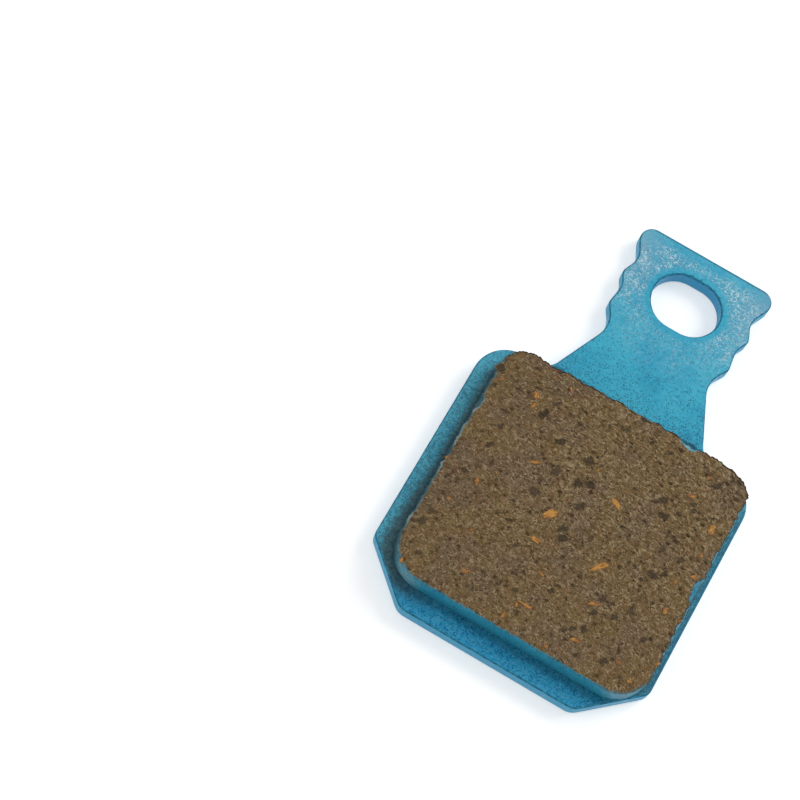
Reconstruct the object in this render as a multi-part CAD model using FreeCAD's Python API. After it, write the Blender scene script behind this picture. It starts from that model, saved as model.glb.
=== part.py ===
import FreeCAD, Part
import math
import os

# Disc brake pad: a stamped and painted steel backing plate with a moulded friction block on its front.
# It lies on its back face at Z = 0, with the friction face up and the pin tab towards +Y.
# Heights in the outline are measured along Y from the plate's lower edge. All sizes are in millimetres.

# Backing plate, body
plate_thickness = 1.9
body_width = 25.0
lower_edge_width = 15.7
lower_edge_radius = 1.5
clip_height = 4.2
clip_radius = 0.9
shoulder_height = 24.1
shoulder_radius = 3.0
rolled_edge_radius = 0.6
front_edge_break = 0.12

# Neck and scalloped tab: widths at the corners of the outline, and the steps in height from one to the next
shoulder_ledge = 5.25
neck_root_radius = 1.6
neck_length = 6.17
waist_width = 9.16
waist_radius = 2.4
waist_to_lower_lobe = 1.8
lower_lobe_width = 11.46
lower_lobe_to_scallop = 1.95
lower_scallop_width = 10.88
scallop_to_middle_lobe = 1.2
middle_lobe_width = 12.12
middle_lobe_to_scallop = 1.7
upper_scallop_width = 10.7
scallop_to_tab_top = 3.25
ear_width = 13.76
lobe_radius = 0.8
scallop_radius = 1.7
ear_radius = 1.16

# Slot for the pad pin, level with the middle lobes
slot_width = 5.0
slot_straight = 1.1
slot_above_middle_lobe = 0.1
slot_rolled_edge_radius = 0.5

# Keying holes, which the plugs of the friction block fill
keying_hole_diameter = 6.2
keying_pitch_across = 11.7
keying_pitch_along = 10.2
keying_centre_height = 11.35
keying_hole_edge_break = 0.2
plug_recess = 0.3

# Friction block: a little off the middle of the plate, as moulded
block_thickness = 2.1
block_lower_margin = 1.95
block_shoulder_margin = 0.25
block_left_margin = 1.65
block_right_margin = 0.6
block_lower_corner_radius = 3.2
block_upper_corner_radius = 2.5

waist_height = shoulder_height + neck_length
lower_lobe_height = waist_height + waist_to_lower_lobe
lower_scallop_height = lower_lobe_height + lower_lobe_to_scallop
middle_lobe_height = lower_scallop_height + scallop_to_middle_lobe
upper_scallop_height = middle_lobe_height + middle_lobe_to_scallop
plate_length = upper_scallop_height + scallop_to_tab_top
slot_height = middle_lobe_height + slot_above_middle_lobe
middle_height = plate_length / 2


def rounded_wire(corners):
    """Closed wire at Z = 0 through (x, height, radius) corners, each rounded by a tangent arc."""
    points = [FreeCAD.Vector(x, height - middle_height, 0) for x, height, _ in corners]
    starts = []
    mids = []
    ends = []
    for index, corner in enumerate(points):
        radius = corners[index][2]
        towards_last = (points[index - 1] - corner).normalize()
        towards_next = (points[(index + 1) % len(points)] - corner).normalize()
        half_angle = towards_last.getAngle(towards_next) / 2
        reach = radius / math.tan(half_angle)
        to_arc_middle = radius / math.sin(half_angle) - radius
        bisector = (towards_last + towards_next).normalize()
        starts.append(corner + towards_last * reach)
        mids.append(corner + bisector * to_arc_middle)
        ends.append(corner + towards_next * reach)
    edges = []
    for index, start in enumerate(starts):
        edges.append(Part.Arc(start, mids[index], ends[index]).toShape())
        edges.append(Part.LineSegment(ends[index], starts[(index + 1) % len(starts)]).toShape())
    return Part.Wire(edges)


def prism(wire, bottom, thickness):
    """Solid of the given thickness over a closed wire, with its lower face at the given Z."""
    solid = Part.Face(wire).extrude(FreeCAD.Vector(0, 0, thickness))
    solid.translate(FreeCAD.Vector(0, 0, bottom))
    return solid


def flat_face(solid, level):
    """Flat face of the solid that lies at the given Z."""

    def distance(face):
        return abs(face.BoundBox.ZMin - level) + abs(face.BoundBox.ZMax - level)

    return min(solid.Faces, key=distance)


def hole_edges(solid):
    """Edges round each hole in the back face, as one list for each hole."""
    face = flat_face(solid, 0)
    return [wire.Edges for wire in face.Wires if not wire.isSame(face.OuterWire)]


def plate_outline():
    """Outline of the plate: the right half from the lower edge to the ear, and its mirror image."""
    right = [
        (lower_edge_width / 2, 0, lower_edge_radius),
        (body_width / 2, clip_height, clip_radius),
        (body_width / 2, shoulder_height, shoulder_radius),
        (body_width / 2 - shoulder_ledge, shoulder_height, neck_root_radius),
        (waist_width / 2, waist_height, waist_radius),
        (lower_lobe_width / 2, lower_lobe_height, lobe_radius),
        (lower_scallop_width / 2, lower_scallop_height, scallop_radius),
        (middle_lobe_width / 2, middle_lobe_height, lobe_radius),
        (upper_scallop_width / 2, upper_scallop_height, scallop_radius),
        (ear_width / 2, plate_length, ear_radius),
    ]
    left = [(-x, height, radius) for x, height, radius in reversed(right)]
    return rounded_wire(right + left)


def slot_tool():
    """Solid of the pin slot through the plate, with full round ends."""
    end_radius = slot_width / 2
    centre_y = slot_height - middle_height
    straight = Part.makeBox(slot_straight, slot_width, plate_thickness)
    straight.translate(FreeCAD.Vector(-slot_straight / 2, centre_y - end_radius, 0))
    ends = [
        Part.makeCylinder(end_radius, plate_thickness, FreeCAD.Vector(side * slot_straight / 2, centre_y, 0))
        for side in (-1, 1)
    ]
    return straight.multiFuse(ends).removeSplitter()


def keying_centres():
    """Centres of the four keying holes in the back face."""
    centre_y = keying_centre_height - middle_height
    return [
        FreeCAD.Vector(side * keying_pitch_across / 2, centre_y + row * keying_pitch_along / 2, 0)
        for side in (-1, 1)
        for row in (-1, 1)
    ]


def backing_plate():
    """Stamped plate: the punch rolls over the edges of the back face, and the front edges are only broken."""
    plate = prism(plate_outline(), 0, plate_thickness)
    plate = plate.makeFillet(rolled_edge_radius, flat_face(plate, 0).OuterWire.Edges)
    plate = plate.cut(slot_tool())
    slot_edges = hole_edges(plate)[0]
    plate = plate.makeFillet(slot_rolled_edge_radius, slot_edges)
    plate = plate.makeChamfer(front_edge_break, flat_face(plate, plate_thickness).Edges)
    keying_holes = [
        Part.makeCylinder(keying_hole_diameter / 2, plate_thickness, centre)
        for centre in keying_centres()
    ]
    plate = plate.cut(keying_holes)
    keying_edges = [edges[0] for edges in hole_edges(plate) if len(edges) == 1]
    return plate.makeChamfer(keying_hole_edge_break, keying_edges)


def friction_block():
    """Moulded block on the plate's front face, with the plugs that key it into the plate."""
    left = block_left_margin - body_width / 2
    right = body_width / 2 - block_right_margin
    lower = block_lower_margin
    upper = shoulder_height - block_shoulder_margin
    outline = rounded_wire([
        (left, lower, block_lower_corner_radius),
        (right, lower, block_lower_corner_radius),
        (right, upper, block_upper_corner_radius),
        (left, upper, block_upper_corner_radius),
    ])
    block = prism(outline, plate_thickness, block_thickness)
    rise = FreeCAD.Vector(0, 0, plug_recess)
    plug_length = plate_thickness - plug_recess
    plugs = [
        Part.makeCylinder(keying_hole_diameter / 2, plug_length, centre + rise)
        for centre in keying_centres()
    ]
    return block.multiFuse(plugs).removeSplitter()


os.makedirs("parts", exist_ok=True)
backing_plate().exportStep("parts/backing_plate.step")
friction_block().exportStep("parts/friction_block.step")
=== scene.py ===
"""Ceramic disc brake pad on a plain studio floor.

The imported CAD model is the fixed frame. The steel backing plate keeps its CAD solid and gets its paint here.
The friction block is modelled anew over its solid: a moulded block whose face was ground flat, with paint on
its walls, chipped edges, and copper shavings and graphite grains cut through by the grinding. New pieces are
modelled in millimetres and brought to metres when they are finished.
"""

import logging
import math
import random
from dataclasses import dataclass, field, fields
from enum import Enum
from functools import partial, reduce

import bpy
from mathutils import Matrix, Vector, noise


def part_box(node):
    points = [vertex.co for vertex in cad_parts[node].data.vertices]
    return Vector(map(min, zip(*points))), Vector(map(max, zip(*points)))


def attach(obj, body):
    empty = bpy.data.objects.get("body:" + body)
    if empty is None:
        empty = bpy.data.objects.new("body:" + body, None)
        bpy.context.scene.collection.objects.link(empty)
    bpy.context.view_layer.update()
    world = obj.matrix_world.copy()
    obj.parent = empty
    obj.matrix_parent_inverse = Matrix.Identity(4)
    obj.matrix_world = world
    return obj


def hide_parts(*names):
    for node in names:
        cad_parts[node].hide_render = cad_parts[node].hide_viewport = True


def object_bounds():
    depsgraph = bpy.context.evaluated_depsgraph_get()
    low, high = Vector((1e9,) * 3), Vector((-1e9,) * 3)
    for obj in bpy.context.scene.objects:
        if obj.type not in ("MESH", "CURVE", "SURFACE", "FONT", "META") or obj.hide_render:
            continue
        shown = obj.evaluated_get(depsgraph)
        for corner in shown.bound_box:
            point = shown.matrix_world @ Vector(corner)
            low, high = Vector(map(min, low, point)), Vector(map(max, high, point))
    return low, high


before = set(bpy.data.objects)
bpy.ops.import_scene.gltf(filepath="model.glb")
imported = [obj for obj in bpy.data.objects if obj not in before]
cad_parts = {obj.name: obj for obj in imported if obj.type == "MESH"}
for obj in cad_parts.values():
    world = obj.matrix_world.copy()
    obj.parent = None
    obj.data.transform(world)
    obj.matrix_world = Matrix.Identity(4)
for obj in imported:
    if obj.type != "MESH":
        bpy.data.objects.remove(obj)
CAD_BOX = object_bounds()

MM = 0.001
PER_MM = 1000.0
BODY = "root"
PLATE_NODE = "backing_plate"
BLOCK_NODE = "friction_block"
FULL_TURN = 360
# Pixel at the middle of the painted highlight on the block's lower-left wall corner
CORNER_HIGHLIGHT_PIXEL = (405, 576)

# Settings that many nodes share, the middle value of a noise, and the factors that leave out the height
SMOOTH = {"interpolation_type": "SMOOTHSTEP"}
COLOURS = {"data_type": "RGBA"}
NUMBERS = {"data_type": "FLOAT"}
NOISE_MIDDLE = 0.5
FLAT = (1, 1, 0)

log = logging.getLogger("brake_pad")

Socket = bpy.types.NodeSocket
Node = bpy.types.Node
Tree = bpy.types.NodeTree
Object = bpy.types.Object
Material = bpy.types.Material
Feed = Node | Socket
Pair = tuple[float, float]

# A ramp: the two values of a measure between which a mask changes, and its strength at each, if not 0 and 1
Ramp = tuple[float, ...]


def srgb(code: str) -> tuple[float, float, float, float]:
    """Turn an sRGB hex value into a linear colour.

    Args:
        code: colour as #RRGGBB.

    Returns:
        Linear red, green and blue, with full alpha.
    """
    shares = [int(code[start:start + 2], 16) / 255 for start in (1, 3, 5)]
    linear = [share / 12.92 if share <= 0.04045 else ((share + 0.055) / 1.055) ** 2.4 for share in shares]
    return (*linear, 1.0)


def add_node(tree: Tree, kind: str, inputs: dict | list | tuple = (), **settings: str | bool) -> Node:
    """Add one node with its settings and links.

    Args:
        tree: node tree that gets the node.
        kind: Blender's name of the node without its ShaderNode prefix.
        inputs: what each input takes, in order or by name: a value, a hex colour, a socket, or a node, which
            stands for its first output.
        settings: properties of the node.

    Returns:
        The new node.
    """
    node = tree.nodes.new("ShaderNode" + kind)
    for name, value in settings.items():
        setattr(node, name, value)
    open_inputs = [socket for socket in node.inputs if socket.enabled]
    if isinstance(inputs, dict):
        targets = [next(socket for socket in open_inputs if socket.name == name) for name in inputs]
        inputs = inputs.values()
    else:
        targets = open_inputs
    for target, value in zip(targets, inputs):
        if isinstance(value, Node):
            value = next(socket for socket in value.outputs if socket.enabled)
        if isinstance(value, Socket):
            tree.links.new(value, target)
        else:
            target.default_value = srgb(value) if isinstance(value, str) else value
    return node


def overlap(tree: Tree, *masks: Feed) -> Node:
    """Add nodes for what several masks share, which is their product, and return the last node."""
    return reduce(lambda both, mask: add_node(tree, "Math", [both, mask], operation="MULTIPLY"), masks)


def contour(tree: Tree, pattern: Feed, line: Ramp, level: float = NOISE_MIDDLE) -> Node:
    """Add nodes for thin curling lines, which run where a noise passes a level.

    Args:
        tree: node tree of the material.
        pattern: the noise.
        line: ramp of the distance from the level, from a line's edge to its middle.
        level: value of the noise that the lines follow.

    Returns:
        Node of the lines.
    """
    off_level = add_node(tree, "Math", [pattern, level], operation="SUBTRACT")
    distance = add_node(tree, "Math", [off_level], operation="ABSOLUTE")
    return add_node(tree, "MapRange", [distance, *line], **SMOOTH)


def coats(tree: Tree, ground: Feed | str, *layers: tuple[Feed, Feed | str]) -> Node:
    """Add nodes that lay colours over a ground, one after another.

    Args:
        tree: node tree of the material.
        ground: the lowest colour.
        layers: for each colour laid over it, the mask of where it covers, and the colour.

    Returns:
        Node of the colour that shows.
    """
    for mask, colour in layers:
        ground = add_node(tree, "Mix", [mask, ground, colour], **COLOURS)
    return ground


def shade(tree: Tree, inputs: dict, height: Feed, depth: float, strength: float) -> None:
    """Close a material with its relief, its shader and its output.

    Args:
        tree: node tree of the material.
        inputs: inputs of the shader, by name.
        height: height of the relief, from 0 to 1.
        depth: depth of the relief in millimetres.
        strength: how strongly the relief shows.
    """
    relief = add_node(tree, "Bump", {"Strength": strength, "Distance": depth * MM, "Height": height})
    shader = add_node(tree, "BsdfPrincipled", {**inputs, "Normal": relief})
    add_node(tree, "OutputMaterial", [shader])


def seen_share(tree: Tree) -> Node:
    """Add nodes that are 1 for what is seen, also in metal and through glass, and 0 for what only lights.

    Args:
        tree: node tree of the floor or the world.

    Returns:
        The last node.
    """
    rays = add_node(tree, "LightPath").outputs
    seen = add_node(tree, "Math", [rays["Is Camera Ray"], rays["Is Glossy Ray"]], operation="MAXIMUM")
    return add_node(tree, "Math", [seen, rays["Is Transmission Ray"]], operation="MAXIMUM")


def place_in_mm(tree: Tree) -> Node:
    """Add nodes for the object's own coordinates in millimetres, and return the last one."""
    place = add_node(tree, "TexCoord").outputs["Object"]
    return add_node(tree, "VectorMath", [place, PER_MM], operation="SCALE")


def shifted(ramp: Ramp, origin: float) -> Ramp:
    """Move the two ends of a ramp by the place that they are measured from."""
    return (origin + ramp[0], origin + ramp[1], *ramp[2:])


def new_material(name: str) -> Material:
    """Make a material with an empty node tree.

    Args:
        name: name of the material.

    Returns:
        The material.
    """
    material = bpy.data.materials.new(name)
    material.use_nodes = True
    material.node_tree.nodes.clear()
    return material


def pick(*things: Object) -> None:
    """Deselect everything, then select the given objects and make the first one active.

    Args:
        things: the objects, or none to leave everything deselected.
    """
    bpy.ops.object.select_all(action="DESELECT")
    for thing in things:
        thing.select_set(True)
    if things:
        bpy.context.view_layer.objects.active = things[0]


def note(piece: Object, name: str, values: list[float], kind: str = "FLOAT", part: str = "value") -> None:
    """Note a value at each point of a piece's mesh, for its material.

    Args:
        piece: object that gets the note.
        name: name of the note.
        values: the values, point after point.
        kind: what is noted at a point.
        part: name of the value in each point's entry.
    """
    attribute = piece.data.attributes.new(name, kind, "POINT")
    attribute.data.foreach_set(part, values)


def finish_piece(piece: Object, material: Material) -> None:
    """Bring a piece modelled in millimetres to metres, dress it and fix it to the pad.

    Args:
        piece: object modelled in millimetres.
        material: its only material.
    """
    pick(piece)
    piece.scale = (MM, MM, MM)
    bpy.ops.object.transform_apply(location=True, rotation=True, scale=True)
    piece.data.materials.clear()
    piece.data.materials.append(material)
    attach(piece, BODY)
    log.info("%s: %d faces", piece.name, len(piece.data.polygons))


class Side(Enum):
    """Sides and corners of the friction block, by the direction in degrees that they face."""

    RIGHT = 0
    UPPER_RIGHT = 45
    TOP = 90
    UPPER_LEFT = 135
    LEFT = 180
    LOWER_LEFT = 225
    BOTTOM = 270
    LOWER_RIGHT = 315


class Inclusion(Enum):
    """What is bound into the friction compound, by the name of its piece."""

    COPPER = "copper_shavings"
    GRAPHITE = "graphite_grains"


@dataclass(frozen=True)
class PhotoCamera:
    """Camera at the photograph's viewing angle, found from the pad's outline. Lengths are in millimetres."""

    place: tuple[float, float, float] = (-5.367, -79.486, 190.096)
    aim: tuple[float, float, float] = (-16.149, -5.767, 4.0)
    roll: float = -31.364
    lens: float = 113.225
    sensor: float = 36.0
    picture_side: float = 800.0
    nearest: float = 10.0
    farthest: float = 20000.0

    def axes(self) -> tuple[Vector, Vector, Vector]:
        """Work out the camera's right, up and forward directions.

        Returns:
            Three unit vectors in the pad's frame.
        """
        forward = (Vector(self.aim) - Vector(self.place)).normalized()
        level_up = Vector((0, 1, 0))
        level_up = (level_up - forward * level_up.dot(forward)).normalized()
        level_right = forward.cross(level_up)
        roll = math.radians(self.roll)
        up = level_up * math.cos(roll) + level_right * math.sin(roll)
        return forward.cross(up), up, forward

    def on_level(self, px: float, py: float, level: float) -> Vector:
        """Find the point at a height that the photograph shows at a pixel.

        Args:
            px: pixel from the left.
            py: pixel from the top.
            level: height of the point in millimetres.

        Returns:
            The point in millimetres.
        """
        right, up, forward = self.axes()
        focal = self.lens / self.sensor * self.picture_side
        half = self.picture_side / 2
        ray = right * ((px - half) / focal) - up * ((py - half) / focal) + forward
        place = Vector(self.place)
        return place + ray * ((level - place.z) / ray.z)

    def build(self) -> None:
        """Add the camera to the scene and look through it."""
        right, up, forward = self.axes()
        lens = bpy.data.cameras.new("photo_camera")
        lens.lens = self.lens
        lens.sensor_width = self.sensor
        lens.clip_start = self.nearest * MM
        lens.clip_end = self.farthest * MM
        camera = bpy.data.objects.new("photo_camera", lens)
        turn = Matrix((right, up, -forward)).transposed().to_4x4()
        camera.matrix_world = Matrix.Translation(Vector(self.place) * MM) @ turn
        bpy.context.scene.collection.objects.link(camera)
        bpy.context.scene.camera = camera


@dataclass(frozen=True)
class RoundedSlab:
    """Flat slab with a rounded rectangle for its outline. All sizes are in millimetres.

    Attributes:
        centre: middle of the outline.
        half: half its width and half its length.
        lower_radius: radius of the two corners towards -Y.
        upper_radius: radius of the two corners towards +Y.
    """

    centre: Pair
    half: Pair
    lower_radius: float
    upper_radius: float

    def corner(self, x: float, y: float) -> tuple[float, float, float, Vector]:
        """Measure a point from the nearest corner's centre, outwards.

        Args:
            x: place across the slab.
            y: place along the slab.

        Returns:
            The distance past the corner's centre across and along, the corner's radius, and the corner's
            side of the slab as 1 or -1 across and along.
        """
        radius = self.upper_radius if y > self.centre[1] else self.lower_radius
        across = abs(x - self.centre[0]) - (self.half[0] - radius)
        along = abs(y - self.centre[1]) - (self.half[1] - radius)
        side = Vector((math.copysign(1, x - self.centre[0]), math.copysign(1, y - self.centre[1])))
        return across, along, radius, side

    def rounded(self, x: float, y: float) -> Pair:
        """Move a point of the full rectangle so that the rectangle's corners become round.

        Args:
            x: place across the rectangle.
            y: place along the rectangle.

        Returns:
            The place in the rounded outline.
        """
        across, along, radius, side = self.corner(x, y)
        if across <= 0 or along <= 0:
            return x, y
        share_across = across / radius
        share_along = along / radius
        new_across = radius * share_across * math.sqrt(1 - share_along**2 / 2)
        new_along = radius * share_along * math.sqrt(1 - share_across**2 / 2)
        return x + side.x * (new_across - across), y + side.y * (new_along - along)

    def outward(self, x: float, y: float) -> tuple[float, Vector]:
        """Measure a point from the outline.

        Args:
            x: place across the slab.
            y: place along the slab.

        Returns:
            How far the point lies inside the outline, and the direction straight out of it.
        """
        across, along, radius, side = self.corner(x, y)
        if across > 0 and along > 0:
            reach = math.hypot(across, along)
            return radius - reach, Vector((side.x * across / reach, side.y * along / reach))
        if across > along:
            return radius - across, Vector((side.x, 0))
        return radius - along, Vector((0, side.y))

    def model(self, name: str, levels: list[float], cell: float) -> Object:
        """Model the slab: a grid for its face, its edge extruded level by level, and the far side closed.

        Args:
            name: name of the object.
            levels: height of the face, and then of each ring of the wall down or up to the far side.
            cell: size of the grid's cells.

        Returns:
            The slab as an object in millimetres.
        """
        pick()
        cells = [round(2 * half / cell) for half in self.half]
        bpy.ops.mesh.primitive_grid_add(x_subdivisions=cells[0], y_subdivisions=cells[1], size=2)
        slab = bpy.context.object
        slab.name = name
        slab.data.name = name
        slab.scale = (*self.half, 1)
        slab.location = (*self.centre, levels[0])
        bpy.ops.object.transform_apply(location=True, rotation=True, scale=True)
        for vertex in slab.data.vertices:
            vertex.co.xy = self.rounded(vertex.co.x, vertex.co.y)
        bpy.ops.object.mode_set(mode="EDIT")
        bpy.ops.mesh.select_mode(type="EDGE")
        bpy.ops.mesh.select_all(action="DESELECT")
        bpy.ops.mesh.select_non_manifold(extend=False)
        for above, below in zip(levels, levels[1:]):
            step = {"value": (0, 0, below - above)}
            bpy.ops.mesh.extrude_region_move(TRANSFORM_OT_translate=step)
        bpy.ops.mesh.edge_face_add()
        bpy.ops.mesh.select_all(action="SELECT")
        bpy.ops.mesh.normals_make_consistent(inside=False)
        bpy.ops.object.mode_set(mode="OBJECT")
        return slab


@dataclass(frozen=True)
class Swell:
    """One layer of an uneven surface. Lengths are in millimetres.

    Attributes:
        size: size of its swells.
        layer: where in the noise it is taken from, so that no two layers are alike.
        depth: how deep it is.
    """

    size: float
    layer: float
    depth: float

    def at(self, x: float, y: float) -> float:
        """Work out its height at a place."""
        return self.depth * noise.noise(Vector((x / self.size, y / self.size, self.layer)))


@dataclass(frozen=True)
class Grinding:
    """What the grinding wheel left on the friction face. Lengths are in millimetres.

    Attributes:
        centre: centre of the wheel's arcs.
        radius: radius of the middle arc.
        sunk: depth of the face below its highest level.
        streak_size: length and width of the streaks.
        streak_depth: their depth.
        unevenness: grit and broad swells.
        pit_cell: length and width of the cell that a broken-out grain may leave a pit in.
        pit_layer: where in the noise the cells are taken from.
        pit_mix: step that gives neighbouring cells chances that are unlike.
        pit_radius: least radius of a pit as a share of its cell, and how much chance adds to it.
        pit_chance: chance that a pit has to pass, and how much the calm part adds to it.
        pit_depth: depth of a pit.
        pit_dark: how fast a pit darkens from its rim, and how dark it is at most; the dark is painted shade.
        calm: ramp of the place along the pad, towards the part with fewer pits.
    """

    centre: Pair = (-8.0, -51.0)
    radius: float = 44.0
    sunk: float = 0.035
    streak_size: Pair = (0.55, 0.22)
    streak_depth: float = 0.014
    unevenness: tuple[Swell, ...] = (
        Swell(size=0.26, layer=4, depth=0.016),
        Swell(size=2.5, layer=7, depth=0.009),
    )
    pit_cell: Pair = (0.62, 0.5)
    pit_layer: float = 3
    pit_mix: float = 7.3
    pit_radius: Pair = (0.19, 0.22)
    pit_chance: Pair = (0.02, 0.43)
    pit_depth: float = 0.08
    pit_dark: Pair = (1.8, 0.78)
    calm: Pair = (-8, -14)

    def unrolled(self, x: float, y: float) -> Pair:
        """Measure a point along and across the arcs.

        Args:
            x: place across the pad.
            y: place along the pad.

        Returns:
            The distance along the middle arc, and from the arcs' centre.
        """
        dx = x - self.centre[0]
        dy = y - self.centre[1]
        return math.atan2(dx, dy) * self.radius, math.hypot(dx, dy)

    def unroll(self, tree: Tree, place: Node) -> Node:
        """Add nodes that measure the surface along and across the arcs.

        Args:
            tree: node tree of the material.
            place: node of the place in millimetres.

        Returns:
            Node of the vector along, across and up.
        """
        add = partial(add_node, tree)
        offset = add("VectorMath", [place, (*self.centre, 0)], operation="SUBTRACT")
        parts = add("SeparateXYZ", [offset]).outputs
        flat = add("VectorMath", [offset, FLAT], operation="MULTIPLY")
        across = add("VectorMath", [flat], operation="LENGTH").outputs["Value"]
        turn = add("Math", [parts["X"], parts["Y"]], operation="ARCTAN2")
        along = add("Math", [turn, self.radius], operation="MULTIPLY")
        return add("CombineXYZ", [along, across, parts["Z"]])

    def drop(self, x: float, y: float) -> Pair:
        """Work out the roughness of the ground face.

        Args:
            x: place across the pad.
            y: place along the pad.

        Returns:
            How far the face lies below its highest level, and how dark it is as a pit, from 0 to 1.
        """
        along, across = self.unrolled(x, y)
        streak = noise.noise(Vector((along / self.streak_size[0], across / self.streak_size[1], 0)))
        cell = Vector((along / self.pit_cell[0], across / self.pit_cell[1], self.pit_layer))
        distances, points = noise.voronoi(cell)
        chance = noise.cell(points[0] * self.pit_mix)
        radius = self.pit_radius[0] + self.pit_radius[1] * max(0.0, chance)
        calm = min(1.0, max(0.0, (y - self.calm[0]) / (self.calm[1] - self.calm[0])))
        pit = 0.0
        if chance > self.pit_chance[0] + self.pit_chance[1] * calm:
            pit = max(0.0, 1 - (distances[0] / radius) ** 2)
        uneven = sum(swell.at(x, y) for swell in self.unevenness)
        drop = self.sunk + self.streak_depth * streak + uneven + self.pit_depth * pit
        return max(0.0, drop), min(self.pit_dark[1], self.pit_dark[0] * pit)


@dataclass(frozen=True)
class Surface:
    """Nodes of a surface that a material's shader takes."""

    colour: Node
    roughness: Node
    height: Node


@dataclass(frozen=True)
class StovePaint:
    """Stoved blue paint, sprayed thin over blasted steel and the moulded block.

    To the eye it is a satin blue with a fine orange peel. The pale glints where its peel breaks the light
    are painted highlights in the colour, with a painted sheen round them, and where the film is thin the
    blasted ground shows through as dark pinholes. Real peel and pinholes go down to sizes too fine for the
    render, so they are drawn as coarse as they need to show.
    Lengths are in millimetres, and lines and spans are ramps of the noise that draws them.
    """

    blue: str = "#33ACD0"
    light_blue: str = "#45BBD8"
    worm_blue: str = "#6CC5DE"
    deep_blue: str = "#0F5F7C"
    # Painted sheen round the glints, and the glints' painted highlight colour
    painted_sheen: str = "#86B8D2"
    pale: str = "#CFE8F1"
    cloud_size: float = 3.5
    cloud_span: Ramp = (0.35, 0.65)
    mottle_size: float = 0.42
    mottle_line: Ramp = (0.085, 0.02)
    worm_size: float = 0.34
    worm_line: Ramp = (0.06, 0.02)
    pinhole_pitch: float = 0.12
    pinhole_rim: Ramp = (0.58, 0.20)
    pinhole_share: float = 0.70
    glint_size: float = 0.39
    glint_line: Ramp = (0.075, 0.025)
    glint_snip: Ramp = (0.42, 0.54, 0.15, 0.88)
    glint_veil: float = 0.34
    peel_size: float = 0.30
    roughness: Ramp = (0.3, 0.7, 0.34, 0.50)

    def lay(self, tree: Tree, place: Node, pinholes: Node, mottle: Node, glints: Node) -> Surface:
        """Add the nodes of the film.

        Args:
            tree: node tree of the material.
            place: node of the place in millimetres.
            pinholes: how thin the film is, from 0 to 1, which opens pinholes.
            mottle: strength of the fine dark and light mottle.
            glints: strength of the painted glints and their painted sheen.

        Returns:
            The film's colour, roughness and height.
        """
        add = partial(add_node, tree)
        cloud = add("TexNoise", {"Vector": place, "Scale": 1 / self.cloud_size, "Detail": 2.0})
        cloudy = add("MapRange", [cloud, *self.cloud_span])
        crumple = {"Vector": place, "Detail": 1.0}
        fine = add("TexNoise", {**crumple, "Scale": 1 / self.mottle_size, "Distortion": 0.8})
        curl = add("TexNoise", {**crumple, "Scale": 1 / self.worm_size, "Distortion": 1.0})
        crumb = add("TexNoise", {**crumple, "Scale": 1 / self.glint_size, "Distortion": 1.0})
        darker = overlap(tree, contour(tree, fine, self.mottle_line), mottle)
        lighter = overlap(tree, contour(tree, curl, self.worm_line), mottle)

        cells = add("TexVoronoi", {"Vector": place, "Scale": 1 / self.pinhole_pitch}).outputs
        pricks = add("MapRange", [cells["Distance"], *self.pinhole_rim], **SMOOTH)
        chance = add("SeparateColor", [cells["Color"]])
        share = add("Math", [pinholes, self.pinhole_share], operation="MULTIPLY")
        opened = add("Math", [chance, share], operation="LESS_THAN")
        holes = overlap(tree, pricks, opened)

        # Painted highlights: pale glint strokes, with a painted sheen round them
        veil = add("Math", [glints, self.glint_veil], operation="MULTIPLY")
        snipped = add("MapRange", [curl, *self.glint_snip])
        spark = overlap(tree, contour(tree, crumb, self.glint_line), snipped, glints)
        colour = coats(
            tree,
            self.blue,
            (cloudy, self.light_blue),
            (darker, self.deep_blue),
            (lighter, self.worm_blue),
            (holes, self.deep_blue),
            (veil, self.painted_sheen),
            (spark, self.pale),
        )
        peel = add("TexNoise", {"Vector": place, "Scale": 1 / self.peel_size, "Detail": 3.0})
        uneven = add("Math", [fine, mottle, peel], operation="MULTIPLY_ADD")
        crumbed = add("Math", [spark, uneven], operation="ADD")
        height = add("Math", [crumbed, holes], operation="SUBTRACT")
        roughness = add("MapRange", [fine, *self.roughness])
        return Surface(colour, roughness, height)


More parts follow.
